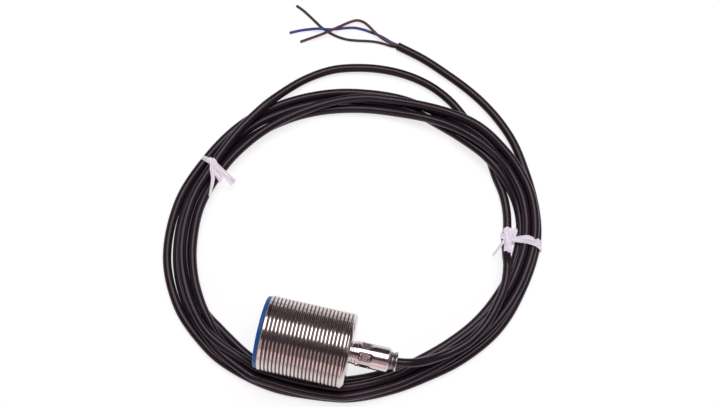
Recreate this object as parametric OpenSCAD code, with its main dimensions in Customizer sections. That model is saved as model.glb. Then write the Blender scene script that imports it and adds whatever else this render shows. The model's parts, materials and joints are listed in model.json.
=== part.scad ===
// Cylindrical inductive proximity sensor: short threaded metal barrel, plastic sensing face,
// crimped cable outlet and a thin three-core cable wound into a loose coil.
// The barrel lies level along X with its sensing face towards -X. Millimetres, +Z up, table at z = 0.

/* [Barrel] */
// Outer diameter of the mounting thread
thread_d = 30; // [29:0.5:31]
// Pitch of the thread
thread_pitch = 1.5; // [1:0.25:2]
// Number of thread grooves along the barrel
thread_turns = 22; // [20:1:24]
// Diameter of the barrel's inner bore
bore_d = 26; // [25.5:0.25:26.5]
// Thickness of the wall that closes the rear end
rear_wall = 2.5; // [2:0.25:3]
// Chamfer on the rear edge
rear_chamfer = 1; // [0.6:0.1:1.2]

/* [Sensing face] */
// How far the cap stands proud of the barrel
cap_proud = 1.5; // [1:0.1:2]
// Diameter of the cap's visible rim
cap_d = 28.8; // [28:0.1:29]
// Radius that rounds the cap's front edge
cap_round = 0.8; // [0.3:0.1:0.9]
// Length of the cap's skirt inside the bore
skirt_len = 14; // [13:0.5:15]

/* [Cable outlet] */
// Visible length of the neck between barrel and crimp sleeve
neck_len = 2.3; // [2:0.1:3]
// Diameter of the neck
neck_d = 9.4; // [9:0.1:9.8]
// Length of the crimp sleeve
sleeve_len = 13.2; // [12:0.2:14]
// Outer diameter of the crimp sleeve
sleeve_d = 10; // [9.9:0.1:11]
// Distance across the flats pressed into the sleeve
crimp_flats = 9.3; // [9:0.1:9.6]
// Length of the collar at the end of the outlet
collar_len = 3; // [2.5:0.1:4]
// Diameter of the collar
collar_d = 7.5; // [7:0.1:8]

/* [Cable] */
// Diameter of the cable jacket
cable_d = 3.6; // [3.4:0.05:3.6]
// Diameter of one insulated core
core_d = 1.2; // [1:0.05:1.2]
// Width of the loose coil, measured across its turns
coil_w = 12; // [11:0.5:12]
// Height of the loose coil
coil_h = 6.8; // [6:0.2:6.8]
// Thickness of the film that ties the coil
tie_film = 0.3; // [0.2:0.05:0.4]
// Width of the ties
tie_w = 3; // [2:0.25:4]

/* [Hidden] */

$fn = 96;
gap = 0.05;

// Barrel, measured along the axis from its front edge
thread_r = thread_d / 2;
axis_h = thread_r;
bore_r = bore_d / 2;
// Blunt thread: broad crests, and shallower than a sharp one
crest_share = 0.5;
depth_share = 0.35;
thread_depth = depth_share * thread_pitch;
root_r = thread_r - thread_depth;
flank = thread_depth * tan(30);
crest_flat = crest_share * thread_pitch;
root_flat = thread_pitch - crest_flat - 2 * flank;
front_chamfer = 0.5;
front_land = 0.7;
rear_land = 1.3;
barrel_len = front_land + thread_turns * thread_pitch + rear_land;
outlet_len = neck_len + sleeve_len + collar_len;
total_len = cap_proud + barrel_len + outlet_len;
front_x = total_len / 2 - cap_proud;

// Sensing element
plate_t = 0.8;
skirt_r = bore_r - gap;
skirt_wall = 1;
skirt_in_r = skirt_r - skirt_wall;
core_r = 11;
core_len = 6.8;
core_back = plate_t + core_len;
core_post_r = 4.7;
core_wall_r = 8.95;
core_hole_r = 2.2;
groove_end = plate_t + 4.4;
lead_d = 0.3;
lead_y = 7;
shield_end = 9.8;

// Circuit board, lying in the plane of the axis
board = [20, 20, 1];
board_s = 9;
board_top = board[2] / 2;
lead_h = board_top + lead_d / 2 + gap;
lead_end = board_s + 3;
pad_s = board_s + board[0] - 2;

// Cable outlet
neck_r = neck_d / 2;
spigot_r = 3.6;
nipple_bore_r = 2.2;
flange_r = 6.4;
flange_s = barrel_len - rear_wall - 2;
flange_t = 1;
o_ring_r = 0.5;
neck_end = barrel_len + neck_len;
sleeve_end = neck_end + sleeve_len;
spigot_end = neck_end + 7.7;
collar_end = sleeve_end + collar_len;
cable_bore_r = cable_d / 2 + gap;
jacket_s = neck_end + 0.7;

// Table-top layout of the cable
jacket_r = cable_d / 2;
coil_centre = [0, 47];
// Radius of the coil's middle line every 30 degrees, starting at +X
coil_radii = [67.5, 73, 65.5, 61, 60.5, 66, 70.5, 72, 69, 61.5, 59, 61.5];
coil_step = 4;
barrel_bay_r = thread_r + 1.1;
barrel_bay = [-front_x - 5.5, barrel_len - front_x + 0.3];
tie_left_at = 163;
tie_right_at = 12;

// Route from inside the outlet to the coil's inner side
lead_route = [[jacket_s - front_x, 0, axis_h], [20, 0, axis_h], [collar_end - front_x, 0, axis_h],
              [33, 1, 14.2], [38, 3, 12.2], [43, 6, 10], [48, 9.5, 8.8], [54, 15, 8.6],
              [59, 23, 8.6], [62, 32, 8.6], [63.5, 40.5, 8.6], [63.1, 48.5, 8], [61.8, 54, 6.2],
              [60.7, 60, 3.2], [60.4, 66, 1.9], [58.8, 73, 1.8], [55.9, 80.1, 1.8], [51.8, 86.6, 1.8]];
// Wide turn that lies outside the others at the far side
loop_route = [[33, 109.5, 1.8], [26, 115, 1.8], [17, 119.5, 1.8], [7, 122, 1.8],
              [-4, 122.5, 1.8], [-15, 121, 1.8], [-26, 117.5, 1.8], [-36, 111, 1.8],
              [-44, 102.5, 3], [-50.5, 93.5, 4.6]];
// End of the cable, from under the coil to where the jacket is cut
end_route = [[61.5, 94, 1.8], [56, 102.5, 1.8], [49.5, 109.5, 1.8], [41.5, 116, 1.8],
             [32.5, 121.5, 1.8], [22, 126.5, 1.8], [11, 131, 1.8], [-1, 134.4, 1.8]];
// The three cores, from the cut jacket to their tips
black_route = [[-1, 133.9, 1.4], [-4, 134.1, 0.9], [-7, 134.5, 0.7], [-11, 134.6, 0.6],
               [-15, 134.1, 0.6], [-19, 133.4, 0.6], [-23, 133, 0.6], [-27, 133.3, 0.6],
               [-31, 134.3, 0.6], [-35, 136, 0.6], [-38.5, 138.2, 0.6], [-41.5, 140.1, 0.6],
               [-44.5, 141.9, 0.6], [-48, 143.5, 0.6]];
blue_route = [[-1, 135, 1.4], [-4, 135.6, 1.4], [-7, 136.8, 1.1], [-10, 137.8, 0.8],
              [-13, 138.4, 0.6], [-17, 139, 0.6], [-21, 139, 0.6], [-25, 138, 0.6],
              [-28.5, 136.5, 1.2], [-32, 135.3, 1.8], [-36, 134.8, 1.6], [-40, 133.9, 0.9],
              [-44, 132.5, 0.6], [-48, 130.5, 0.6]];
brown_route = [[-1, 134.4, 2.4], [-4, 134.8, 2.3], [-7, 135.8, 2.1], [-10, 137.1, 2.2],
               [-13, 139, 2.3], [-15.5, 140.8, 2], [-18, 142.2, 1.4], [-21, 142.4, 1],
               [-24, 140.7, 1], [-27, 138, 1.8], [-30, 135.2, 2.8], [-33.5, 132.7, 2.3],
               [-38, 130.2, 1.2], [-42.5, 127.5, 0.6]];

// ---- helpers ----

// Places children on the sensor's axis, s millimetres behind the barrel's front edge
module on_axis(s = 0) translate([s - front_x, 0, axis_h]) rotate([0, 90, 0]) children();

// Places children on the board: x along the axis, z away from the board's middle plane
module on_board(s, y, z) translate([s - front_x, y, axis_h + z]) children();

function unit(v) = v / norm(v);

function direction(path, i) =
    unit(path[min(i + 1, len(path) - 1)] - path[max(i - 1, 0)]);

function ring(centre, along, r, sides) =
    let(side = unit(cross(along, [0, 0, 1])), up = cross(side, along))
    [for (k = [0 : sides - 1])
        let(turn = 360 * k / sides)
        centre + r * cos(turn) * side + r * sin(turn) * up];

// Solid tube of eight sides along a route
module tube(path, d, sides = 8) {
    rings = len(path);
    points = [for (i = [0 : rings - 1]) each ring(path[i], direction(path, i), d / 2, sides)];
    walls = [for (i = [0 : rings - 2], k = [0 : sides - 1])
        let(a = i * sides + k, b = i * sides + (k + 1) % sides)
        each [[a, b, b + sides], [a, b + sides, a + sides]]];
    start_cap = [for (k = [sides - 1 : -1 : 0]) k];
    end_cap = [for (k = [0 : sides - 1]) (rings - 1) * sides + k];
    polyhedron(points, concat([start_cap, end_cap], walls));
}

// Straight round wire between two points given as [s, y, z from the axis]
module wire(from, to, d) {
    run = to - from;
    on_board(from[0], from[1], from[2])
        rotate([0, acos(run[2] / norm(run)), atan2(run[1], run[0])])
            cylinder(d = d, h = norm(run), $fn = 32);
}

// Radius of the coil's middle line at an angle, a smooth curve through coil_radii
function coil_radius(angle) =
    let(n = len(coil_radii), u = angle * n / 360, i = floor(u), t = u - i,
        a = coil_radii[(i + n - 1) % n], b = coil_radii[i % n],
        c = coil_radii[(i + 1) % n], d = coil_radii[(i + 2) % n])
    (2 * b + (c - a) * t + (2 * a - 5 * b + 4 * c - d) * t * t
        + (3 * b - a - 3 * c + d) * t * t * t) / 2;

// Places children across the coil, x pointing outwards from its middle line
module at_coil(angle)
    translate([coil_centre[0], coil_centre[1], 0]) rotate(angle)
        translate([coil_radius(angle), 0, 0]) children();

// ---- barrel and sensing face ----

function groove(s) = [[thread_r, s], [root_r, s + flank],
                      [root_r, s + flank + root_flat], [thread_r, s + 2 * flank + root_flat]];

module housing_barrel() {
    outline = concat(
        [[bore_r, 0], [thread_r - front_chamfer, 0], [thread_r, front_chamfer]],
        [for (i = [0 : thread_turns - 1]) each groove(front_land + i * thread_pitch)],
        [[thread_r, barrel_len - rear_chamfer], [thread_r - rear_chamfer, barrel_len],
         [neck_r + gap, barrel_len], [neck_r + gap, barrel_len - rear_wall],
         [bore_r, barrel_len - rear_wall]]);
    color("silver") on_axis() rotate_extrude() polygon(outline);
}

module sensing_cap() {
    cap_r = cap_d / 2;
    rounded = [for (a = [0 : 15 : 90])
        [cap_r - cap_round + cap_round * sin(a), cap_round - cap_proud - cap_round * cos(a)]];
    outline = concat(
        [[0, -cap_proud]], rounded,
        [[cap_r, 0], [skirt_r, 0], [skirt_r, skirt_len], [skirt_in_r, skirt_len],
         [skirt_in_r, plate_t], [0, plate_t]]);
    color("royalblue") on_axis() rotate_extrude() polygon(outline);
}

module lead_pair(from, to, d)
    for (side = [-1, 1])
        wire([from, side * lead_y, lead_h], [to, side * lead_y, lead_h], d);

module ferrite_core() {
    outline = [[core_hole_r, plate_t], [core_post_r, plate_t], [core_post_r, groove_end],
               [core_wall_r, groove_end], [core_wall_r, plate_t], [core_r, plate_t],
               [core_r, core_back], [core_hole_r, core_back]];
    color("dimgray") difference() {
        on_axis() rotate_extrude() polygon(outline);
        lead_pair(groove_end - 1, core_back + 1, 1);
    }
}

module coil_bobbin() {
    hub_in = core_post_r + gap;
    hub_out = hub_in + 0.6;
    rim_r = core_wall_r - gap;
    front = plate_t + 0.2;
    back = groove_end - gap;
    rim_t = 0.4;
    outline = [[hub_in, front], [rim_r, front], [rim_r, front + rim_t], [hub_out, front + rim_t],
               [hub_out, back - rim_t], [rim_r, back - rim_t], [rim_r, back], [hub_in, back]];
    color("ivory") difference() {
        on_axis() rotate_extrude() polygon(outline);
        lead_pair(back - 1, back + 1, lead_d + 0.2);
    }
}

module coil_winding() {
    in_r = core_post_r + gap + 0.6;
    front = plate_t + 0.6;
    back = groove_end - gap - 0.4;
    color("chocolate") on_axis(front) difference() {
        cylinder(r = core_wall_r - 0.4, h = back - front);
        translate([0, 0, -1]) cylinder(r = in_r, h = back - front + 2);
    }
}

module coil_leads() {
    color("chocolate") lead_pair(groove_end - gap - 0.4, lead_end, lead_d);
}

module shield_ring() {
    color("goldenrod") on_axis(plate_t) difference() {
        cylinder(r = skirt_in_r - 0.1, h = shield_end - plate_t);
        translate([0, 0, -1]) cylinder(r = core_r + 0.1, h = shield_end - plate_t + 2);
    }
}

// ---- circuit ----

module circuit_board() {
    color("darkgreen") on_board(board_s, -board[1] / 2, -board_top) cube(board);
}

module control_chip() {
    body = [5, 4, 1.5];
    pin = [0.4, 1, 0.9];
    color("black") on_board(board_s + 6, 0, board_top) {
        translate([0, -body[1] / 2, 0.1]) cube(body);
        for (i = [0 : 3], side = [-1, 1])
            translate([0.4 + i * 1.27, side * (body[1] / 2 + pin[1] / 2) - pin[1] / 2, 0]) cube(pin);
    }
}

module output_transistor() {
    body = [6.5, 3.5, 1.6];
    color("black") on_board(board_s + 9, 0, -board_top) {
        translate([0, -body[1] / 2, -0.1 - body[2]]) cube(body);
        for (i = [0 : 2])
            translate([0.9 + i * 2.3, body[1] / 2, -0.9]) cube([0.7, 1.5, 0.9]);
        translate([1.7, -body[1] / 2 - 1.5, -0.9]) cube([3.1, 1.5, 0.9]);
    }
}

module capacitors() {
    chip = [2, 1.25, 1];
    color("tan") {
        for (y = [-8, -5.5, 5, 7.5]) on_board(board_s + 14, y - chip[1] / 2, board_top) cube(chip);
        on_board(board_s + 3, -2, -board_top - 1.9) cube([3.5, 2.8, 1.9]);
    }
}

module resistors() {
    chip = [1.6, 0.8, 0.5];
    color("black") {
        for (i = [0 : 2], y = [-8, 6])
            on_board(board_s + 6 + 2.4 * i, y, board_top) cube(chip);
        for (y = [-6, -3.5, 3, 5.5])
            on_board(board_s + 17, y, -board_top - chip[2]) cube(chip);
    }
}

module protection_diodes() {
    d = 1.5;
    h = -board_top - d / 2 - gap;
    color("firebrick") for (s = [2.5, 5.5])
        wire([board_s + s, 4.5, h], [board_s + s, 8, h], d);
}

module inner_core(jacket_y, jacket_z, pad_y, pad_z)
    wire([pad_s, pad_y, pad_z], [jacket_s, jacket_y, jacket_z], core_d);

module inner_core_brown() color("saddlebrown") inner_core(-0.65, 0.5, -2.4, 1.3);

module inner_core_blue() color("mediumblue") inner_core(0.65, 0.5, 2.4, 1.3);

module inner_core_black() color("black") inner_core(0, -0.75, 0, -1.4);

module all_wires() {
    inner_core_brown();
    inner_core_blue();
    inner_core_black();
    coil_leads();
}

module solder_blobs() {
    for (y = [-2.4, 2.4]) on_board(pad_s, y, board_top) cylinder(r = 1, h = 1, $fn = 32);
    on_board(pad_s, 0, -board_top - 1) cylinder(r = 1, h = 1, $fn = 32);
    for (side = [-1, 1])
        on_board(lead_end - 0.6, side * lead_y, board_top) cylinder(r = 0.7, h = 0.4, $fn = 32);
}

module solder_joints() {
    color("gainsboro") difference() {
        solder_blobs();
        all_wires();
    }
}

module potting_resin() {
    color("darkslategray") difference() {
        union() {
            on_axis(shield_end) cylinder(r = skirt_in_r - gap, h = skirt_len - shield_end);
            on_axis(skirt_len) cylinder(r = bore_r - gap, h = flange_s - skirt_len - 0.1);
        }
        circuit_board();
        control_chip();
        output_transistor();
        capacitors();
        resistors();
        protection_diodes();
        solder_blobs();
        all_wires();
    }
}

// ---- cable outlet ----

module outlet_nipple() {
    outline = [[spigot_r, flange_s], [flange_r, flange_s], [flange_r, flange_s + flange_t],
               [neck_r, flange_s + flange_t], [neck_r, neck_end], [spigot_r, neck_end],
               [spigot_r, spigot_end], [nipple_bore_r, spigot_end], [nipple_bore_r, barrel_len - 1]];
    color("silver") on_axis() rotate_extrude() polygon(outline);
}

module nipple_o_ring() {
    color("black") on_axis(flange_s + flange_t + o_ring_r)
        rotate_extrude() translate([neck_r + 0.1 + o_ring_r, 0]) circle(r = o_ring_r);
}

module crimp_sleeve() {
    flats_from = 2.3;
    flats_len = 4.8;
    end_chamfer = 0.6;
    in_r = spigot_r + 0.1;
    r = sleeve_d / 2;
    outline = [[in_r, 0], [r - 0.2, 0], [r, 0.2], [r, sleeve_len - end_chamfer],
               [r - end_chamfer, sleeve_len], [in_r, sleeve_len]];
    color("silver") difference() {
        on_axis(neck_end) rotate_extrude() polygon(outline);
        for (i = [0 : 5])
            on_axis(neck_end + flats_from) rotate(i * 60 + 30)
                translate([crimp_flats / 2, -r, 0]) cube([r, 2 * r, flats_len]);
    }
}

module cable_seal() {
    from = spigot_end + 0.2;
    color("black") on_axis(from) difference() {
        cylinder(r = spigot_r + gap, h = sleeve_end - from);
        translate([0, 0, -1]) cylinder(r = cable_bore_r, h = sleeve_end - from + 2);
    }
}

module end_collar() {
    r = collar_d / 2;
    rim_len = 0.6;
    rim_r = r + 0.35;
    outline = [[cable_bore_r, 0], [r, 0], [r, collar_len - rim_len], [rim_r, collar_len - rim_len],
               [rim_r, collar_len - 0.2], [rim_r - 0.2, collar_len], [cable_bore_r + 0.3, collar_len],
               [cable_bore_r, collar_len - 0.3]];
    color("silver") on_axis(sleeve_end) rotate_extrude() polygon(outline);
}

// ---- cable on the table ----

module cable_lead() color("black") tube(lead_route, cable_d);

module cable_loop() color("black") tube(loop_route, cable_d);

module cable_end() color("black") tube(end_route, cable_d);

module core_brown() color("saddlebrown") tube(brown_route, core_d);

module core_blue() color("mediumblue") tube(blue_route, core_d);

module core_black() color("black") tube(black_route, core_d);

module coil_outline(offset_r)
    polygon([for (a = [0 : coil_step : 360 - coil_step])
        coil_centre + (coil_radius(a) + offset_r) * [cos(a), sin(a)]]);

// One solid that the wound turns fit, hollowed where the barrel lies against it
module cable_coil() {
    color("black") difference() {
        linear_extrude(coil_h) difference() {
            coil_outline(coil_w / 2);
            coil_outline(-coil_w / 2);
        }
        translate([barrel_bay[0], 0, axis_h]) rotate([0, 90, 0])
            cylinder(r = barrel_bay_r, h = barrel_bay[1] - barrel_bay[0]);
        for (a = [tie_left_at, tie_right_at])
            at_coil(a) translate([-coil_w, -tie_w / 2, -1]) cube([2 * coil_w, tie_w, 1 + tie_film]);
    }
}

// Film band round the coil, with a knot and two tails on its inner top edge
module tie(angle, reach, tail_angles, tail_lens) {
    out = coil_w / 2 + 0.3;
    knot = [3.4, 3.2, 2];
    knot_x = 1 - reach;
    tail_w = 2.4;
    top = coil_h + 0.2;
    color("white") at_coil(angle) {
        rotate([90, 0, 0]) translate([0, 0, -tie_w / 2]) linear_extrude(tie_w) difference() {
            translate([-reach - tie_film, 0]) square([reach + out + 2 * tie_film, top + tie_film]);
            translate([-reach, tie_film]) square([reach + out, top - tie_film]);
        }
        translate([knot_x, -knot[1] / 2, top + tie_film]) cube(knot);
        for (i = [0, 1])
            translate([knot_x + knot[0] / 2, 0, top + tie_film + 0.8 + 0.5 * i])
                rotate(tail_angles[i]) translate([0, -tail_w / 2, 0])
                    cube([tail_lens[i], tail_w, tie_film]);
    }
}

module tie_left() tie(tie_left_at, coil_w / 2 + 0.3, [168, 101], [11, 12]);

module tie_right() tie(tie_right_at, coil_w / 2 + 3.9, [268, 236], [8, 12]);

housing_barrel();
sensing_cap();
ferrite_core();
coil_bobbin();
coil_winding();
coil_leads();
shield_ring();
circuit_board();
control_chip();
output_transistor();
capacitors();
resistors();
protection_diodes();
solder_joints();
potting_resin();
inner_core_brown();
inner_core_blue();
inner_core_black();
outlet_nipple();
nipple_o_ring();
crimp_sleeve();
cable_seal();
end_collar();
cable_lead();
cable_coil();
cable_loop();
cable_end();
core_brown();
core_blue();
core_black();
tie_left();
tie_right();
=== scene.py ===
import json
import math

import bmesh
import bpy
import numpy as np
from mathutils import Matrix, Vector


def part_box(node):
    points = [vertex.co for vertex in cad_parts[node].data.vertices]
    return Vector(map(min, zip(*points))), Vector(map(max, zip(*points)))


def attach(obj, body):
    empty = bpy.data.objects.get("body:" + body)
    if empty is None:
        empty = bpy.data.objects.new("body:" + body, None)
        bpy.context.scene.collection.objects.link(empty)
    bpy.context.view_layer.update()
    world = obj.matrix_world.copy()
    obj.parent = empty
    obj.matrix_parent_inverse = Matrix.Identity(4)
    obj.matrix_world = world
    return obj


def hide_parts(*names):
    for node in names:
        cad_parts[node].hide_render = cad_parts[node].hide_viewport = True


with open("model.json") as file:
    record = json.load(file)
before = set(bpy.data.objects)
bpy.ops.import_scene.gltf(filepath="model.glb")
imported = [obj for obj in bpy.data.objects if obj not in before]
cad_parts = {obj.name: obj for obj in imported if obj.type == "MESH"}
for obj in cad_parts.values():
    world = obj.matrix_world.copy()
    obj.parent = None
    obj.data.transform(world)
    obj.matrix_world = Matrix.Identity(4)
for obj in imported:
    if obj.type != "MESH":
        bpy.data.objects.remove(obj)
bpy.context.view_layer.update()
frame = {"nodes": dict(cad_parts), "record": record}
MM = 0.001

# ------------------------------------------------------------------ sizes, all in metres

THREAD_R = 0.015
AXIS_Z = THREAD_R
BORE_R = 0.013
PITCH = 0.0015
TURNS = 22
THREAD_DEPTH = 0.35 * PITCH
CREST_FLAT = 0.5 * PITCH
FLANK = THREAD_DEPTH * math.tan(math.radians(30))
FRONT_LAND = 0.0007
CABLE_D = 0.0036
CABLE_R = CABLE_D / 2
CORE_D = 0.0012
REAR_WALL = 0.0025
FIT = 0.00005

BARREL_X0, BARREL_X1 = (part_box("housing_barrel")[i][0] for i in (0, 1))
BARREL_LEN = BARREL_X1 - BARREL_X0
CAP_X0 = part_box("sensing_cap")[0][0]
NECK_R = 0.0047
SLEEVE_X0, SLEEVE_X1 = (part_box("crimp_sleeve")[i][0] for i in (0, 1))
SLEEVE_R = (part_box("crimp_sleeve")[1][2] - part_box("crimp_sleeve")[0][2]) / 2
COLLAR_X1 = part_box("end_collar")[1][0]

# ------------------------------------------------------------------ camera

# Degrees turned from looking along +Y, degrees it looks down, and its place in metres
AZIMUTH, ELEVATION = 12.7, 75.95
CAMERA_AT = (0.02525, -0.0558, 0.4869)


def basis(azimuth, elevation):
    a, e = math.radians(azimuth), math.radians(elevation)
    right = Vector((math.cos(a), math.sin(a), 0))
    ahead = Vector((-math.sin(a) * math.cos(e), math.cos(a) * math.cos(e), -math.sin(e)))
    return right, right.cross(ahead), ahead


cam_data = bpy.data.cameras.new("camera")
cam_data.sensor_width = 36
cam_data.lens = 60
cam = bpy.data.objects.new("camera", cam_data)
bpy.context.scene.collection.objects.link(cam)
bpy.context.scene.camera = cam
right, up, ahead = basis(AZIMUTH, ELEVATION)
turn = Matrix((right, up, -ahead)).transposed().to_4x4()
cam.matrix_world = Matrix.Translation(CAMERA_AT) @ turn

# ------------------------------------------------------------------ materials


class Nodes:
    """A material's node tree, with short ways to add and join nodes."""

    def __init__(self, name):
        self.mat = bpy.data.materials.new(name)
        self.mat.use_nodes = True
        self.tree = self.mat.node_tree
        self.bsdf = self.tree.nodes["Principled BSDF"]
        self.coords = self.tree.nodes.new("ShaderNodeTexCoord")

    def set(self, **values):
        for key, value in values.items():
            self.bsdf.inputs[key.replace("_", " ")].default_value = value

    def add(self, kind, **inputs):
        node = self.tree.nodes.new(kind)
        for key, value in inputs.items():
            node.inputs[key.replace("_", " ")].default_value = value
        return node

    def join(self, out, into):
        self.tree.links.new(out, into)

    def vector(self, scale, source="Object"):
        """Texture coordinates, scaled by three numbers."""
        node = self.add("ShaderNodeMapping", Scale=scale)
        self.join(self.coords.outputs[source], node.inputs["Vector"])
        return node.outputs["Vector"]

    def noise(self, scale, detail=4, rough=0.55, vector=None):
        node = self.add("ShaderNodeTexNoise", Scale=scale, Detail=detail, Roughness=rough)
        self.join(vector or self.coords.outputs["Object"], node.inputs["Vector"])
        return node.outputs["Fac"]

    def maths(self, kind, first, second=0.0):
        """A Math node on two values, each a number or a socket."""
        node = self.tree.nodes.new("ShaderNodeMath")
        node.operation = kind
        for socket, value in zip(node.inputs, (first, second)):
            if isinstance(value, bpy.types.NodeSocket):
                self.join(value, socket)
            else:
                socket.default_value = value
        return node.outputs["Value"]

    def separate(self):
        node = self.add("ShaderNodeSeparateXYZ")
        self.join(self.coords.outputs["Object"], node.inputs["Vector"])
        return node.outputs

    def mix(self, share, low, high):
        """From colour low to colour or socket high by a share."""
        node = self.tree.nodes.new("ShaderNodeMix")
        node.data_type = "RGBA"
        ends = {socket.identifier: socket for socket in [*node.inputs, *node.outputs]}
        self.join(share, ends["Factor_Float"])
        ends["A_Color"].default_value = (*low, 1)
        self.join(high, ends["B_Color"])
        return ends["Result_Color"]

    def ramp(self, fac, stops):
        node = self.tree.nodes.new("ShaderNodeValToRGB")
        marks = node.color_ramp.elements
        while len(marks) < len(stops):
            marks.new(0.5)
        for mark, (at, value) in zip(marks, stops):
            mark.position = at
            mark.color = (*value, 1) if hasattr(value, "__len__") else (value, value, value, 1)
        self.join(fac, node.inputs["Fac"])
        return node.outputs["Color"]

    def bump(self, layers):
        """Bump from several (height, strength, distance in metres)."""
        last = None
        for height, strength, distance in layers:
            node = self.add("ShaderNodeBump", Strength=strength, Distance=distance)
            self.join(height, node.inputs["Height"])
            if last:
                self.join(last, node.inputs["Normal"])
            last = node.outputs["Normal"]
        self.join(last, self.bsdf.inputs["Normal"])


def metal(name, dark, light, rough, along=(1, 1, 1), scratch=0.2, shaded=None):
    """Plated or bare metal: cloudy colour, uneven roughness and fine machining marks.

    shaded(n) gives a factor from 0 to 1, where 0 is the recessed metal: rougher, and darkened with
    painted shade.
    """
    n = Nodes(name)
    n.set(Metallic=1.0)
    colour = n.ramp(n.noise(220, 5), [(0.3, dark), (0.7, light)])
    smear = n.noise(900, 3, vector=n.vector(along))
    gloss = n.ramp(smear, [(0.25, rough[0]), (0.75, rough[1])])
    if shaded:
        share = shaded(n)
        # Painted shade: where the share falls to 0, the colour darkens towards 0.4 of the dark
        # tone.
        colour = n.mix(share, [0.4 * v for v in dark], colour)
        gloss = n.mix(share, (0.42, 0.42, 0.42), gloss)
    n.join(colour, n.bsdf.inputs["Base Color"])
    n.join(gloss, n.bsdf.inputs["Roughness"])
    n.bump([(smear, scratch, 0.00001), (n.noise(4000, 2), scratch / 3, 0.000003)])
    return n.mat


def groove_painted_shade(n):
    """Painted shade for the thread: 1 on the thread's crests, falling to 0 in its grooves, which
    get painted shade; 1 again on the rear face.
    """
    place = n.separate()
    off = n.maths("SUBTRACT", place["Z"], AXIS_Z)
    radius = n.maths("SQRT", n.maths("ADD", n.maths("MULTIPLY", off, off),
                                     n.maths("MULTIPLY", place["Y"], place["Y"])))
    depth = n.maths("SUBTRACT", THREAD_R, radius)
    outside = n.maths("DIVIDE", depth, THREAD_DEPTH)
    crest = n.ramp(outside, [(0.06, 1.0), (0.35, 0.0)])
    rear = n.maths("GREATER_THAN", place["X"], BARREL_X1 - 0.0011)
    return n.maths("MAXIMUM", crest, rear)


def collar_painted_shade(n):
    """0.15 on the waist of the end collar, darkened there as painted shade, 1 elsewhere."""
    place = n.separate()
    before = n.maths("LESS_THAN", place["X"], SLEEVE_X1 + 0.00005)
    after = n.maths("GREATER_THAN", place["X"], COLLAR_X1 - 0.0006)
    return n.maths("MAXIMUM", n.maths("MAXIMUM", before, after), 0.15)


def plastic(name, dark, light, rough, grain=2500, depth=0.00001, spec=0.5, **extra):
    """Moulded plastic or rubber: faint mottling, uneven gloss and a fine surface grain."""
    n = Nodes(name)
    n.set(Specular_IOR_Level=spec, **extra)
    n.join(n.ramp(n.noise(160, 4), [(0.3, dark), (0.7, light)]), n.bsdf.inputs["Base Color"])
    gloss = n.noise(420, 5)
    n.join(n.ramp(gloss, [(0.3, rough[0]), (0.7, rough[1])]), n.bsdf.inputs["Roughness"])
    n.bump([(n.noise(grain, 3), 0.25, depth), (gloss, 0.12, 0.00004)])
    return n.mat


def jacket():
    """Extruded cable jacket: black, with faint drawing lines along it and rubbed patches."""
    n = Nodes("cable_jacket")
    n.set(Specular_IOR_Level=0.35, Specular_Tint=(1, 0.84, 1, 1))
    rubbed = n.noise(90, 5)
    n.join(n.ramp(rubbed, [(0.3, (0.020, 0.014, 0.019)), (0.75, (0.030, 0.021, 0.028))]),
           n.bsdf.inputs["Base Color"])
    lines = n.noise(1, 3, vector=n.vector((26, 60, 1), "UV"))
    n.join(n.ramp(n.noise(350, 5), [(0.3, 0.16), (0.7, 0.24)]), n.bsdf.inputs["Roughness"])
    n.bump([(lines, 0.15, 0.00001), (n.noise(1600, 3), 0.1, 0.000006)])
    return n.mat


def film():
    """Thin translucent film, milky with creases; painted light and shade on the creases, and a
    faint painted glow.
    """
    n = Nodes("tie_film")
    # Emission makes the film glow faintly in its own colours: painted light.
    n.set(Alpha=0.93, Specular_IOR_Level=0.5, Emission_Strength=0.28)
    milk = n.noise(500, 5)
    creases = n.noise(1, 5, vector=n.vector((14, 120, 1), "UV"))
    # Painted light and shade: the crease pattern runs from a darker lilac in the hollows to near
    # white on the ridges, in both colour and glow.
    shade = n.ramp(creases, [(0.34, (0.50, 0.45, 0.58)), (0.5, (0.84, 0.79, 0.87)),
                             (0.68, (0.97, 0.94, 0.97))])
    n.join(shade, n.bsdf.inputs["Base Color"])
    n.join(shade, n.bsdf.inputs["Emission Color"])
    n.join(n.ramp(milk, [(0.3, 0.22), (0.7, 0.42)]), n.bsdf.inputs["Roughness"])
    n.bump([(creases, 0.8, 0.0003), (milk, 0.3, 0.0001)])
    return n.mat


def board():
    """Green circuit board with the shine of its solder resist and paler tracks under it."""
    n = Nodes("board")
    tracks = n.add("ShaderNodeTexBrick", Scale=420, Mortar_Size=0.03)
    n.join(n.coords.outputs["Object"], tracks.inputs["Vector"])
    tracks.inputs["Color1"].default_value = (0.01, 0.09, 0.035, 1)
    tracks.inputs["Color2"].default_value = (0.012, 0.11, 0.04, 1)
    tracks.inputs["Mortar"].default_value = (0.03, 0.2, 0.07, 1)
    n.join(tracks.outputs["Color"], n.bsdf.inputs["Base Color"])
    n.join(n.ramp(n.noise(300), [(0.3, 0.3), (0.7, 0.45)]), n.bsdf.inputs["Roughness"])
    n.bump([(tracks.outputs["Fac"], 0.3, 0.00002)])
    return n.mat


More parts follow.
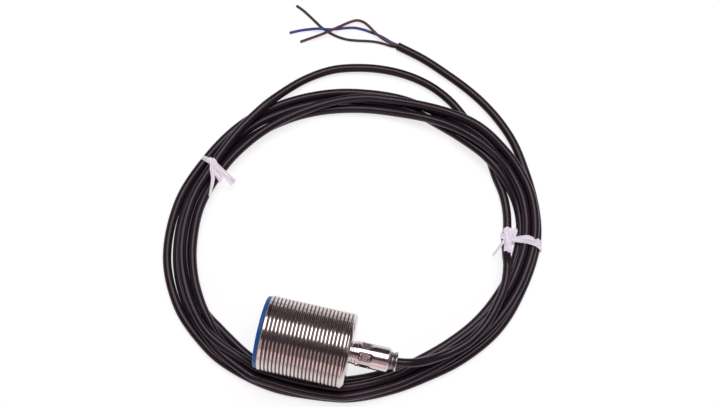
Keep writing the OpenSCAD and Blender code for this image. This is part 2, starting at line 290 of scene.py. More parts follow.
RING = (1, 0.05, 0.05)
LOOKS = {
    # barrel_metal darkens the thread's grooves with painted shade.
    "barrel_metal": metal("barrel_metal", (0.58, 0.50, 0.50), (0.74, 0.66, 0.65),
                          (0.12, 0.22), along=(4, 0.4, 0.4), scratch=0.08,
                          shaded=groove_painted_shade),
    # outlet_metal darkens the collar's recessed waist with painted shade.
    "outlet_metal": metal("outlet_metal", (0.60, 0.54, 0.55), (0.76, 0.70, 0.70),
                          (0.12, 0.22), shaded=collar_painted_shade),
    "face_plastic": plastic("face_plastic", (0.004, 0.105, 0.40), (0.006, 0.130, 0.48),
                            (0.35, 0.48), spec=0.3),
    "ferrite": plastic("ferrite", (0.012, 0.011, 0.012), (0.03, 0.028, 0.028), (0.6, 0.8),
                       grain=5000),
    "bobbin_plastic": plastic("bobbin_plastic", (0.62, 0.58, 0.46), (0.72, 0.68, 0.56),
                              (0.4, 0.5)),
    "enamelled_wire": metal("enamelled_wire", (0.45, 0.15, 0.05), (0.62, 0.24, 0.09),
                            (0.2, 0.35), along=(9, 0.3, 0.3), scratch=0.8),
    "shield_brass": metal("shield_brass", (0.60, 0.42, 0.18), (0.72, 0.53, 0.26), (0.2, 0.35),
                          along=RING),
    "board": board(),
    "component_black": plastic("component_black", (0.012, 0.012, 0.013), (0.02, 0.02, 0.022),
                               (0.5, 0.65), grain=7000),
    "component_tan": plastic("component_tan", (0.28, 0.18, 0.09), (0.38, 0.26, 0.14), (0.5, 0.6)),
    "component_glass": plastic("component_glass", (0.30, 0.07, 0.02), (0.42, 0.12, 0.04),
                               (0.08, 0.14), spec=0.7),
    "solder": metal("solder", (0.60, 0.60, 0.61), (0.74, 0.74, 0.75), (0.15, 0.3)),
    "resin": plastic("resin", (0.006, 0.007, 0.008), (0.014, 0.015, 0.017), (0.12, 0.25)),
    "seal_rubber": plastic("seal_rubber", (0.01, 0.01, 0.01), (0.02, 0.02, 0.02), (0.55, 0.7)),
    "cable_jacket": jacket(),
    "core_brown": plastic("core_brown", (0.095, 0.034, 0.050), (0.150, 0.056, 0.082),
                          (0.35, 0.5), grain=6000),
    "core_blue": plastic("core_blue", (0.030, 0.050, 0.26), (0.052, 0.085, 0.40), (0.35, 0.5),
                         grain=6000),
    "core_black": plastic("core_black", (0.040, 0.022, 0.030), (0.066, 0.038, 0.050),
                          (0.35, 0.5), grain=6000),
    "tie_film": film(),
    "bare_copper": metal("bare_copper", (0.62, 0.27, 0.14), (0.80, 0.42, 0.25), (0.25, 0.4)),
}
for entry in frame["record"]["subparts"]:
    node = frame["nodes"][entry["node"]]
    look = LOOKS[entry["material_slot"]]
    node.data.materials.clear()
    node.data.materials.append(look)

# ------------------------------------------------------------------ mesh helpers

# Edges bent by more degrees than this are shaded sharp
SHARP_FROM = 32


def make(name, points, faces, slot, body="root", extra=(), uv=None):
    """An object of the given points and faces, with its look, riding on a body."""
    mesh = bpy.data.meshes.new(name)
    mesh.from_pydata([tuple(p) for p in points], [], faces)
    mesh.materials.append(LOOKS[slot])
    for look in extra:
        mesh.materials.append(LOOKS[look])
    if uv is not None:
        layer = mesh.uv_layers.new(name="UVMap")
        for loop in mesh.loops:
            layer.data[loop.index].uv = uv[loop.vertex_index]
    obj = bpy.data.objects.new(name, mesh)
    bpy.context.scene.collection.objects.link(obj)
    bm = bmesh.new()
    bm.from_mesh(mesh)
    bmesh.ops.remove_doubles(bm, verts=bm.verts, dist=1e-7)
    bmesh.ops.dissolve_degenerate(bm, edges=bm.edges, dist=1e-8)
    bmesh.ops.recalc_face_normals(bm, faces=bm.faces)
    bm.to_mesh(mesh)
    bm.free()
    for poly in mesh.polygons:
        poly.use_smooth = True
    mesh.set_sharp_from_angle(angle=math.radians(SHARP_FROM))
    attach(obj, body)
    return obj


def grid_faces(rows, columns, closed_rows=False):
    """Quads between rows of points; each row closes on itself, and so do the rows if asked."""
    faces = []
    for i in range(rows if closed_rows else rows - 1):
        for j in range(columns):
            a, b = i * columns + j, i * columns + (j + 1) % columns
            c, d = (((i + 1) % rows) * columns + k % columns for k in (j + 1, j))
            faces.append((a, b, c, d))
    return faces


def lathe(name, outline, slot, columns=160, shape=None):
    """A solid of revolution about the sensor's axis from a closed outline of (x, radius)."""
    points = []
    for x, r in outline:
        for j in range(columns):
            a = 2 * math.pi * j / columns
            q = shape(x, r, a) if shape else r
            points.append((x, q * math.cos(a), AXIS_Z + q * math.sin(a)))
    return make(name, points, grid_faces(len(outline), columns, closed_rows=True), slot)


def arc(x, r, radius, start, end, steps=6):
    """Points of a rounded corner round (x, r); angles in degrees from +x towards +r."""
    out = []
    for i in range(steps + 1):
        a = math.radians(start + (end - start) * i / steps)
        out.append((x + radius * math.cos(a), r + radius * math.sin(a)))
    return out


def lines(outline, step):
    """The same outline with extra points, so that no stretch is longer than step."""
    out = []
    for a, b in zip(outline, outline[1:] + outline[:1]):
        parts = max(1, math.ceil(math.dist(a, b) / step))
        out += [tuple(p + (q - p) * k / parts for p, q in zip(a, b)) for k in range(parts)]
    return out


def smoothstep(t):
    t = min(1.0, max(0.0, t))
    return t * t * (3 - 2 * t)


# ------------------------------------------------------------------ cable route

# From inside the outlet to the coil's inner side
LEAD = [(0.012, 0, 0.015), (0.020, 0, 0.015), (0.0275, 0, 0.015), (0.033, 0.001, 0.0142),
        (0.038, 0.003, 0.0122), (0.043, 0.006, 0.010), (0.048, 0.0095, 0.0088),
        (0.054, 0.015, 0.0086), (0.059, 0.023, 0.0086), (0.062, 0.032, 0.0086),
        (0.0635, 0.0405, 0.0086), (0.0631, 0.0485, 0.008), (0.0618, 0.054, 0.0062),
        (0.0607, 0.060, 0.0032), (0.0604, 0.066, 0.0019), (0.0588, 0.073, 0.0018),
        (0.0559, 0.0801, 0.0018), (0.0518, 0.0866, 0.0018)]
# Under the other turns to the outside
UNDER = [(0.0467, 0.0952, 0.0018), (0.040, 0.103, 0.0018)]
# The wide turn at the far side
LOOP = [(0.033, 0.1095, 0.0018), (0.026, 0.115, 0.0018), (0.017, 0.1195, 0.0018),
        (0.007, 0.122, 0.0018), (-0.004, 0.1225, 0.0018), (-0.015, 0.121, 0.0018),
        (-0.026, 0.1175, 0.0018), (-0.036, 0.111, 0.0018), (-0.044, 0.1025, 0.0030),
        (-0.0505, 0.0935, 0.0046)]
# Out from under the coil to the cut jacket
END = [(0.0615, 0.094, 0.0018), (0.056, 0.1025, 0.0018), (0.0495, 0.1095, 0.0018),
       (0.0415, 0.116, 0.0018), (0.0325, 0.1215, 0.0018), (0.022, 0.1265, 0.0018),
       (0.011, 0.131, 0.0018), (-0.001, 0.1344, 0.0018)]
# The wound turns: angle in degrees about the coil's centre, radius and height in mm. They are
# loose and cross one another, so each is a list: radii measured from above and then adjusted,
# heights chosen as two layers.
WOUND = [
    [(150, 67.2, 5.1), (163, 67.0, 5.0), (180, 69.6, 4.9), (198, 71.4, 4.9), (215, 71.4, 4.9),
     (231, 69.6, 5.0), (244, 65.8, 4.9), (256, 63.2, 5.0), (268, 61.5, 5.1), (280, 60.9, 5.1),
     (296, 58.8, 4.9), (311, 57.9, 4.7), (325, 58.9, 4.7), (338, 61.7, 4.7), (350, 65.0, 4.7)],
    [(2, 68.0, 4.8), (14, 70.6, 4.8), (26, 71.4, 4.8), (37, 69.8, 5.4), (45, 67.4, 7.0),
     (53, 65.0, 8.0), (62, 62.8, 6.2), (74, 60.0, 3.6), (87, 57.9, 1.8), (102, 57.0, 1.8),
     (118, 58.0, 1.8), (132, 59.7, 1.8), (148, 62.4, 1.8), (163, 64.3, 1.8), (180, 67.7, 1.8),
     (198, 69.5, 1.8), (213, 69.3, 1.8), (222, 68.2, 1.8), (231, 66.2, 1.8), (242, 63.8, 1.8),
     (256, 60.8, 1.8), (270, 58.5, 1.8), (284, 57.2, 1.8), (300, 56.1, 1.8), (313, 56.0, 1.8),
     (326, 57.4, 1.8), (338, 59.8, 1.8), (350, 62.6, 1.8)],
    [(2, 66.0, 1.8), (14, 68.8, 1.8), (25, 69.0, 2.0), (36, 67.0, 4.2), (45, 65.0, 5.2),
     (56, 62.2, 4.2), (68, 60.8, 2.0), (80, 60.4, 1.8), (93, 60.4, 1.8), (106, 60.8, 1.8),
     (118, 61.7, 1.8), (131, 63.3, 1.8), (145, 65.9, 1.8), (163, 67.9, 1.8), (180, 71.7, 1.8),
     (198, 73.7, 1.8), (214, 73.9, 1.8), (229, 71.4, 3.4), (242, 69.3, 4.6), (255, 66.9, 5.0),
     (268, 65.0, 5.0), (281, 63.6, 4.9), (297, 61.8, 4.8), (313, 61.5, 4.8), (326, 63.2, 4.8),
     (338, 65.9, 4.8), (350, 68.4, 4.8)],
    [(2, 71.0, 4.7), (14, 73.9, 4.7), (26, 75.2, 4.7), (37, 74.0, 4.8), (47, 71.6, 5.4),
     (57, 69.1, 6.4), (66, 66.6, 6.0), (76, 64.0, 5.0), (87, 61.8, 4.9), (99, 60.9, 5.0),
     (112, 59.8, 4.6), (126, 59.1, 4.6), (138, 59.7, 4.9), (150, 60.8, 4.9), (163, 62.5, 4.8),
     (180, 65.8, 3.2), (194, 67.2, 2.8), (205, 67.7, 4.0), (214, 68.0, 5.0), (222, 68.4, 4.9),
     (231, 68.9, 3.4), (242, 67.3, 1.8), (256, 64.4, 1.8), (270, 62.1, 1.8), (284, 60.8, 1.8),
     (300, 59.6, 1.8), (313, 59.7, 1.8), (326, 61.4, 1.8), (338, 64.0, 1.8), (350, 66.7, 1.8)],
    [(2, 69.2, 1.8), (14, 72.0, 1.8), (26, 72.9, 1.8), (37, 72.2, 2.2), (47, 69.8, 3.6),
     (57, 67.8, 4.4), (66, 65.5, 3.2), (76, 64.6, 1.8), (86, 64.2, 1.8), (97, 63.9, 1.8),
     (109, 64.5, 1.8), (122, 65.6, 1.8), (135, 67.4, 1.8), (148, 69.5, 1.8), (163, 71.5, 1.8),
     (180, 75.2, 1.8), (198, 77.8, 1.8), (214, 77.2, 1.8), (229, 74.3, 1.8), (242, 71.4, 1.8),
     (255, 68.6, 1.8), (268, 65.5, 1.8), (281, 64.1, 1.8), (297, 63.1, 1.8), (311, 63.5, 1.8),
     (323, 65.5, 1.8), (336, 68.2, 1.8), (346, 69.9, 1.8), (357, 71.3, 1.8)],
    [(6, 73.0, 1.8), (16, 75.1, 1.8), (27, 76.2, 1.8)],
]
COIL_CENTRE = (0, 47)
STEP = 0.002
BARREL_CLEAR = THREAD_R + CABLE_R + FIT
# Points that stay where they are at the cable's start and end
HELD_START, HELD_END = 10, 6
# The first point that is pushed off the outlet, past the stretch that comes out of it
CLEAR_FROM = 30
# Points fewer steps apart than this along the cable don't push each other
NEIGHBOURS = 6
# Share of the rounds after which the cable is eased back less
LATE = 0.85


def wound_points():
    for rows in WOUND:
        for angle, r, z in rows:
            a = math.radians(angle)
            yield ((COIL_CENTRE[0] + r * math.cos(a)) * MM,
                   (COIL_CENTRE[1] + r * math.sin(a)) * MM, z * MM)


def smooth_curve(knots, step):
    """A smooth curve through the knots, sampled evenly."""
    p = np.array(knots, float)
    t = np.r_[0, np.cumsum(np.linalg.norm(np.diff(p, axis=0), axis=1))]
    slope = np.empty_like(p)
    slope[1:-1] = (p[2:] - p[:-2]) / (t[2:] - t[:-2])[:, None]
    slope[0] = (p[1] - p[0]) / (t[1] - t[0])
    slope[-1] = (p[-1] - p[-2]) / (t[-1] - t[-2])
    at = np.linspace(0, t[-1], int(t[-1] / (step / 4)) + 1)
    k = np.clip(np.searchsorted(t, at, side="right") - 1, 0, len(t) - 2)
    h = (t[k + 1] - t[k])[:, None]
    u = (at - t[k])[:, None] / h
    dense = ((2 * u**3 - 3 * u**2 + 1) * p[k] + (u**3 - 2 * u**2 + u) * h * slope[k]
             + (3 * u**2 - 2 * u**3) * p[k + 1] + (u**3 - u**2) * h * slope[k + 1])
    return even(dense, step)


def even(p, step):
    """The same curve with its points spaced evenly."""
    t = np.r_[0, np.cumsum(np.linalg.norm(np.diff(p, axis=0), axis=1))]
    at = np.linspace(0, t[-1], int(round(t[-1] / step)) + 1)
    return np.stack([np.interp(at, t, p[:, i]) for i in range(3)], axis=1)


def settle(target, rounds=360):
    """Parts strands that overlap and keeps them off table and sensor, near their target."""
    count = len(target)
    hold = np.ones(count)
    hold[:HELD_START] = hold[-HELD_END:] = 0
    beside_outlet = np.arange(count) > CLEAR_FROM
    room = CABLE_D * 1.006
    shift = np.zeros_like(target)
    for k in range(rounds):
        late = k > rounds * LATE
        for _ in range(2 if late else 4):
            shift[1:-1] += 0.3 * ((shift[2:] + shift[:-2]) / 2 - shift[1:-1])
        shift[:, :2] *= 1 - (0.01 if late else 0.05)
        shift[:, 2] *= 1 - (0.003 if late else 0.012)
        q = target + shift
        if k % 8 == 0:
            near = close_pairs(q, 1.8 * CABLE_D, NEIGHBOURS)
        for _ in range(4):
            i, j = near
            d = q[i] - q[j]
            dist = np.linalg.norm(d, axis=1)
            hit = dist < room
            i, j, d, dist = i[hit], j[hit], d[hit], dist[hit]
            shove = d * ((room - dist) / np.maximum(dist, 1e-9) / 2)[:, None]
            move = np.zeros_like(q)
            weight = np.zeros(count)
            np.add.at(move, i, shove)
            np.add.at(move, j, -shove)
            np.add.at(weight, i, 1)
            np.add.at(weight, j, 1)
            q += move / np.maximum(weight, 1)[:, None] * 1.3
            q[:, 2] = np.maximum(q[:, 2], CABLE_R)
            clear_of_axis(q, CAP_X0 - 0.0012, BARREL_X1 + 0.0004, BARREL_CLEAR, beside_outlet)
            clear_of_axis(q, BARREL_X1, COLLAR_X1 - 0.002, SLEEVE_R + CABLE_R + 0.0001,
                          beside_outlet)
        shift = (q - target) * hold[:, None]
    return target + shift


def close_pairs(p, reach, gap):
    """Pairs of points nearer than reach that are at least gap steps apart along the cable."""
    first, second = [], []
    for start in range(0, len(p), 256):
        block = p[start:start + 256]
        d2 = ((block[:, None] - p[None]) ** 2).sum(axis=2)
        i, j = np.nonzero(d2 < reach * reach)
        i = i + start
        keep = j - i >= gap
        first.append(i[keep])
        second.append(j[keep])
    return np.concatenate(first), np.concatenate(second)


def clear_of_axis(p, x0, x1, radius, who):
    """Pushes the points beside a stretch of the sensor out to a radius from its axis."""
    off = p[:, 1:] - np.array([0, AXIS_Z])
    dist = np.linalg.norm(off, axis=1)
    inside = who & (p[:, 0] > x0) & (p[:, 0] < x1) & (dist < radius)
    p[inside, 1:] = (np.array([0, AXIS_Z])
                     + off[inside] * (radius / np.maximum(dist[inside], 1e-9))[:, None])


def frames(path):
    """Two side directions at each point of a path, turning as little as possible."""
    tangent = np.gradient(path, axis=0)
    tangent /= np.linalg.norm(tangent, axis=1)[:, None]
    side = np.cross(tangent[0], (0, 0, 1))
    side /= np.linalg.norm(side)
    sides = []
    for t in tangent:
        side = side - t * side.dot(t)
        side = side / np.linalg.norm(side)
        sides.append(side)
    sides = np.array(sides)
    return sides, np.cross(tangent, sides)


def tube(name, path, d, slot, sides=20, tip="bare_copper", tip_share=0.5, hollow=False):
    """A round cable along a path, with a cut end that shows what is inside."""
    side, other = frames(path)
    r = d / 2
    along = np.r_[0, np.cumsum(np.linalg.norm(np.diff(path, axis=0), axis=1))]
    rings, uv = [], []
    bevel = min(r * 0.12, 0.00012)

    def ring(i, radius, shift=0.0):
        t = path[i] - path[i - 1] if i else path[1] - path[0]
        t = t / np.linalg.norm(t) * shift
        for k in range(sides):
            a = 2 * math.pi * k / sides
            rings.append(path[i] + t + radius * (math.cos(a) * side[i] + math.sin(a) * other[i]))
            uv.append((k / sides, along[i]))

    last = len(path) - 1
    ring(0, r - bevel)
    ring(0, r, bevel)
    for i in range(1, last):
        ring(i, r)
    ring(last, r, -bevel)
    ring(last, r - bevel)
    ring(last, r * tip_share)
    ring(last, r * tip_share, -0.0004 if hollow else 0.00004)
    rows = len(rings) // sides
    faces = grid_faces(rows, sides)
    faces.append(tuple(range(sides))[::-1])
    faces.append(tuple((rows - 1) * sides + k for k in range(sides)))
    obj = make(name, rings, faces, slot, extra=(tip,), uv=uv)
    centre = Vector(path[-1])
    for poly in obj.data.polygons:
        if (poly.center - centre).length < r * tip_share * 0.8 and len(poly.vertices) == sides:
            poly.material_index = 1
    return obj


knots = LEAD + UNDER + LOOP + list(wound_points()) + END
wanted = smooth_curve(knots, STEP)
route = settle(wanted)
route = even(route, STEP)
cable = tube("cable", route, CABLE_D, "cable_jacket", tip="seal_rubber", tip_share=0.78,
             hollow=True)
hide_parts("cable_lead", "cable_coil", "cable_loop", "cable_end")

CORE_ROUTES = {
    "black": [(-1, 133.9, 1.4), (-4, 134.1, 0.9), (-7, 134.5, 0.7), (-11, 134.6, 0.6),
              (-15, 134.1, 0.6), (-19, 133.4, 0.6), (-23, 133, 0.6), (-27, 133.3, 0.6),
              (-31, 134.3, 0.6), (-35, 136, 0.6), (-38.5, 138.2, 0.6), (-41.5, 140.1, 0.6),
              (-44.5, 141.9, 0.6), (-48, 143.5, 0.6)],
    "blue": [(-1, 135, 1.4), (-4, 135.6, 1.4), (-7, 136.8, 1.1), (-10, 137.8, 0.8),
             (-13, 138.4, 0.6), (-17, 139, 0.6), (-21, 139, 0.6), (-25, 138, 0.6),
             (-28.5, 136.5, 1.2), (-32, 135.3, 1.8), (-36, 134.8, 1.6), (-40, 133.9, 0.9),
             (-44, 132.5, 0.6), (-48, 130.5, 0.6)],
    "brown": [(-1, 134.4, 2.4), (-4, 134.8, 2.3), (-7, 135.8, 2.1), (-10, 137.1, 2.2),
              (-13, 139, 2.3), (-15.5, 140.8, 2), (-18, 142.2, 1.4), (-21, 142.4, 1),
              (-24, 140.7, 1), (-27, 138, 1.8), (-30, 135.2, 2.8), (-33.5, 132.7, 2.3),
              (-38, 130.2, 1.2), (-42.5, 127.5, 0.6)],
}
for colour, points in CORE_ROUTES.items():
    core_path = smooth_curve([[v * MM for v in p] for p in points], 0.0006)
    core = tube("core_end_" + colour, core_path, CORE_D, "core_" + colour, sides=16)
    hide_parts("core_" + colour)

# ------------------------------------------------------------------ film ties


def strip(name, path, widths, slot, facing, seed, across=11, thick=0.00012, crumple=0.00025,
          turn_rate=0.0, torn=0.0):
    """A thin band of film along a path, gathered and creased across its width."""
    rng = np.random.default_rng(seed)
    tangent = np.gradient(path, axis=0)
    tangent /= np.linalg.norm(tangent, axis=1)[:, None]
    phase = rng.uniform(0, 2 * math.pi, 3)
    along = np.r_[0, np.cumsum(np.linalg.norm(np.diff(path, axis=0), axis=1))]
    top, low, uv = [], [], []
    for i, (p, t) in enumerate(zip(path, tangent)):
        normal = np.array(facing[i], float)
        normal -= t * normal.dot(t)
        normal /= np.linalg.norm(normal)
        side = np.cross(t, normal)
        twist = turn_rate * i / len(path)
        side, normal = (side * math.cos(twist) + normal * math.sin(twist),
                        normal * math.cos(twist) - side * math.sin(twist))
        for k in range(across):
            v = k / (across - 1) - 0.5
            fold = (math.sin(v * 15 + phase[0] + i * 0.21) * 0.6
                    + math.sin(v * 31 + phase[1] - i * 0.13) * 0.4)
            centre = p + side * v * widths[i] + normal * fold * crumple
            if i == len(path) - 1:
                centre = centre + t * rng.uniform(-torn, torn)
            centre[2] = max(centre[2], thick)
            top.append(centre + normal * thick / 2)
            low.append(centre - normal * thick / 2)
            uv.append((k / (across - 1), along[i]))
    n = len(path)
    points = top + low
    faces = []
    off = n * across
    for i in range(n - 1):
        for k in range(across - 1):
            a = i * across + k
            faces.append((a, a + 1, a + across + 1, a + across))
            faces.append((off + a, off + a + across, off + a + across + 1, off + a + 1))
        for k in (0, across - 1):
            a = i * across + k
            faces.append((a, a + across, off + a + across, off + a))
    for i in (0, n - 1):
        for k in range(across - 1):
            a = i * across + k
            faces.append((a, a + 1, off + a + 1, off + a))
    return make(name, points, faces, slot, uv=uv + uv)


def near_coil(angle):
    """The cable's crossings of a radial plane: (distance out, height) in metres."""
    a = math.radians(angle)
    out = np.array([math.cos(a), math.sin(a)])
    over = np.array([-out[1], out[0]])
    flat = route[:, :2] - np.array(COIL_CENTRE) * MM
    across = flat @ over
    found = []
    for i in np.nonzero(np.diff(np.sign(across)))[0]:
        if flat[i] @ out > 0:
            t = across[i] / (across[i] - across[i + 1])
            point = flat[i] + t * (flat[i + 1] - flat[i])
            found.append((point @ out, route[i][2] + t * (route[i + 1][2] - route[i][2])))
    return found


def wrap(circles, clear, count=72):
    """Closed outline that a tight band takes round circles in a plane, counter-clockwise."""
    cloud = []
    for x, z in circles:
        for k in range(24):
            a = 2 * math.pi * k / 24
            cloud.append((x + (CABLE_R + clear) * math.cos(a), z + (CABLE_R + clear) * math.sin(a)))
    cloud = sorted(set(cloud))

    def half(points):
        out = []
        for p in points:
            while len(out) > 1 and ((out[-1][0] - out[-2][0]) * (p[1] - out[-2][1])
                                    - (out[-1][1] - out[-2][1]) * (p[0] - out[-2][0])) <= 0:
                out.pop()
            out.append(p)
        return out

    hull = half(cloud)[:-1] + half(cloud[::-1])[:-1]
    ring = np.array(hull + hull[:1])
    t = np.r_[0, np.cumsum(np.linalg.norm(np.diff(ring, axis=0), axis=1))]
    at = np.linspace(0, t[-1], count + 1)[:-1]
    return np.stack([np.interp(at, t, ring[:, i]) for i in range(2)], axis=1)


def blob(name, centre, size, slot, seed):
    """A small crumpled knot of film."""
    bm = bmesh.new()
    bmesh.ops.create_icosphere(bm, subdivisions=4, radius=1)
    rng = np.random.default_rng(seed)
    waves = rng.normal(size=(7, 3)) * 3.2
    phase = rng.uniform(0, 2 * math.pi, 7)
    for v in bm.verts:
        n = v.co.normalized()
        swell = sum(math.sin(float(Vector(w).dot(n)) + q) for w, q in zip(waves, phase)) / 7
        ridge = abs(math.sin(n.x * 7 + n.y * 5 + phase[0])) * 0.22
        f = 0.80 + 0.38 * swell + ridge
        v.co = Vector((n.x * size[0] * f, n.y * size[1] * f, n.z * size[2] * f)) + Vector(centre)
    points = [tuple(v.co) for v in bm.verts]
    faces = [tuple(v.index for v in f.verts) for f in bm.faces]
    bm.free()
    return make(name, points, faces, slot)


def tie(name, angle, slant, width, knots, tails, seed):
    """Film band round the coil at an angle, its knot and its tails.

    slant and width are rows of (distance from the coil's centre, sideways shift or width), knots
    are (place, half sizes), and tails are (points, first width, last width, crumple), all in mm.
    """
    a = math.radians(angle)
    out = Vector((math.cos(a), math.sin(a), 0))
    over = Vector((-out.y, out.x, 0))
    centre = Vector((COIL_CENTRE[0] * MM, COIL_CENTRE[1] * MM, 0))
    outline = wrap(near_coil(angle), 0.00025)
    middle = outline.mean(axis=0)
    band, facing, widths = [], [], []
    for x, z in np.vstack([outline, outline[:1]]):
        shift = float(np.interp(x / MM, *zip(*slant))) * MM
        band.append(centre + out * float(x) + over * shift + Vector((0, 0, float(z))))
        facing.append(out * float(x - middle[0]) + Vector((0, 0, float(z - middle[1]))))
        widths.append(float(np.interp(x / MM, *zip(*width))) * MM)
    pieces = [strip(name + "_band", np.array(band), widths, "tie_film", facing=facing,
                    seed=seed, crumple=0.00018)]
    for i, (place, size) in enumerate(knots):
        pieces.append(blob("%s_knot_%d" % (name, i + 1), [v * MM for v in place],
                           [v * MM for v in size], "tie_film", seed + i))
    for i, (points, first, last, crumple) in enumerate(tails):
        path = smooth_curve([[v * MM for v in p] for p in points], 0.0006)
        spread = np.linspace(first, last, len(path)) * MM
        pieces.append(strip("%s_tail_%d" % (name, i + 1), path, spread, "tie_film",
                            facing=[(0, 0, 1)] * len(path), seed=seed + 5 + i,
                            crumple=crumple * MM, turn_rate=0.4, torn=0.0004))
    for piece in pieces:
        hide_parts(name)
    return pieces


ties = tie("tie_left", 163,
           slant=[(60, 6.4), (62.9, 5.0), (66.5, 1.9), (72.7, 1.1), (80, 0.8)],
           width=[(60, 2.6), (66, 2.3), (73, 1.9)],
           knots=[((-64.3, 64.9, 8.0), (1.7, 1.8, 1.1)), ((-65.9, 65.9, 7.6), (1.2, 0.9, 0.8))],
           tails=[([(-64.0, 64.8, 8.5), (-62.2, 63.4, 8.6), (-58.4, 61.2, 7.3), (-54.3, 58.8, 5.0)],
                   2.0, 3.5, 0.3),
                  ([(-64.4, 64.6, 8.2), (-64.1, 62.2, 8.0), (-62.8, 58.0, 7.7),
                    (-62.3, 50.6, 7.2)], 2.3, 0.8, 0.35)],
           seed=11)
ties += tie("tie_right", 12,
            slant=[(58, 2.2), (61.8, 1.7), (65.2, 0.2), (70.7, 0), (76.3, -1.9), (80, -2.4)],
            width=[(59, 2.6), (62, 2.4), (65.2, 2.2), (70.7, 3.7), (76.3, 4.3)],
            knots=[((60.9, 63.5, 6.3), (2.0, 1.9, 0.9)), ((63.2, 63.5, 6.6), (1.2, 1.7, 0.9))],
            tails=[([(60.7, 63.3, 6.8), (61.2, 60.8, 6.5), (61.7, 57.5, 7.2),
                     (62.1, 54.5, 8.5)], 2.4, 3.5, 0.35),
                   ([(60.7, 62.1, 6.3), (59.6, 58.5, 6.0), (57.9, 55.1, 4.4),
                     (56.7, 52.8, 2.6)], 1.2, 1.0, 0.2)],
            seed=31)

# ------------------------------------------------------------------ threaded barrel


def thread_profile():
    """(distance along the axis, depth) over one pitch: a broad crest and a narrow groove."""
    top, root, d = CREST_FLAT, PITCH - CREST_FLAT - 2 * FLANK, THREAD_DEPTH
    rim = 0.00006
    crown = [(0, 0.00004), (rim, 0.000006), (top / 2, 0), (top - rim, 0.000006), (top, 0.00004)]
    start = top + FLANK
    valley = [(start - rim, d - 0.0001), (start, d - 0.00002), (start + root / 2, d),
              (start + root, d - 0.00002), (start + root + rim, d - 0.0001)]
    return crown + valley


def threaded_barrel():
    """The barrel with a true right-handed helical thread."""
    columns = 180
    start, end = FRONT_LAND, FRONT_LAND + TURNS * PITCH
    fade = 0.0010
    profile = thread_profile()
    rows = [(k * PITCH + s, d) for k in range(-1, TURNS + 2) for s, d in profile]
    points = []
    inner = [(BARREL_LEN - REAR_WALL, BORE_R), (0.0003, BORE_R), (0, BORE_R + 0.0003),
             (0, THREAD_R - 0.0006), (0.0001, THREAD_R - 0.0005), (0.0005, THREAD_R - 0.0001),
             (0.0006, THREAD_R)]
    outer = [(BARREL_LEN - 0.0012, THREAD_R), (BARREL_LEN - 0.00105, THREAD_R - 0.00004),
             (BARREL_LEN - 0.00012, THREAD_R - 0.00095), (BARREL_LEN, THREAD_R - 0.00108),
             (BARREL_LEN, NECK_R + 0.0002), (BARREL_LEN - 0.00015, NECK_R + FIT),
             (BARREL_LEN - REAR_WALL, NECK_R + FIT)]

    def add(s, r, j):
        a = 2 * math.pi * j / columns
        points.append((BARREL_X0 + s, -r * math.sin(a), AXIS_Z + r * math.cos(a)))

    for s, r in inner:
        for j in range(columns):
            add(s, r, j)
    spiral_from = len(inner)
    for s, d in rows:
        for j in range(columns):
            at = min(end, max(start, FRONT_LAND + s + PITCH * j / columns))
            near = smoothstep((at - start) / fade) * smoothstep((end - at) / fade)
            add(at, THREAD_R - d * near, j)
    spiral_to = spiral_from + len(rows)
    for s, r in outer:
        for j in range(columns):
            add(s, r, j)
    per_turn = len(profile)
    total = spiral_to + len(outer)
    faces = []
    for i in range(total):
        nxt = (i + 1) % total
        in_spiral = spiral_from <= i and nxt < spiral_to and nxt > spiral_from
        for j in range(columns):
            wrap_round = j == columns - 1
            if in_spiral and wrap_round:
                if nxt + per_turn < spiral_to:
                    faces.append((i * columns + j, (i + per_turn) * columns,
                                  (nxt + per_turn) * columns, nxt * columns + j))
            else:
                k = (j + 1) % columns
                faces.append((i * columns + j, i * columns + k, nxt * columns + k,
                              nxt * columns + j))
    return make("threaded_barrel", points, faces, "barrel_metal")


barrel = threaded_barrel()
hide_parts("housing_barrel")

# ------------------------------------------------------------------ sensing cap

CAP_R = (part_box("sensing_cap")[1][2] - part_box("sensing_cap")[0][2]) / 2
CAP_ROUND = 0.0008
PLATE_X = BARREL_X0 + 0.0008
SKIRT_X = BARREL_X0 + 0.014
SKIRT_R = BORE_R - FIT
SKIRT_IN_R = SKIRT_R - 0.001
AXIS_HOLE_R = 0.0004
cap_outline = ([(CAP_X0, AXIS_HOLE_R), (CAP_X0, 0.008)]
               + arc(CAP_X0 + CAP_ROUND, CAP_R - CAP_ROUND, CAP_ROUND, 180, 90, 8)
               + [(BARREL_X0 - 0.00012, CAP_R), (BARREL_X0, CAP_R - 0.00012),
                  (BARREL_X0, SKIRT_R), (SKIRT_X, SKIRT_R), (SKIRT_X, SKIRT_IN_R),
                  (PLATE_X, SKIRT_IN_R), (PLATE_X, AXIS_HOLE_R)])
cap = lathe("sensing_face", cap_outline, "face_plastic")
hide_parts("sensing_cap")

# ------------------------------------------------------------------ cable outlet

FLANGE_X = BARREL_X1 - 0.0045
SPIGOT_R = 0.0036
SPIGOT_X = SLEEVE_X0 + 0.0077
FLANGE_R = 0.0064
FLANGE_BACK = FLANGE_X + 0.001
NIPPLE_BORE_R = 0.0022
GROOVE_R = NECK_R - 0.00025
nipple = lathe("outlet_neck", [
    (FLANGE_X, SPIGOT_R), (FLANGE_X, FLANGE_R), (FLANGE_BACK, FLANGE_R), (FLANGE_BACK, NECK_R),
    (BARREL_X1 + 0.0002, NECK_R), (BARREL_X1 + 0.0005, GROOVE_R),
    (BARREL_X1 + 0.0009, GROOVE_R), (BARREL_X1 + 0.0012, NECK_R),
    (SLEEVE_X0 - 0.00015, NECK_R), (SLEEVE_X0, NECK_R - 0.00015), (SLEEVE_X0, SPIGOT_R),
    (SPIGOT_X, SPIGOT_R), (SPIGOT_X, NIPPLE_BORE_R), (BARREL_X1 - 0.001, NIPPLE_BORE_R),
], "outlet_metal")
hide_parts("outlet_nipple")

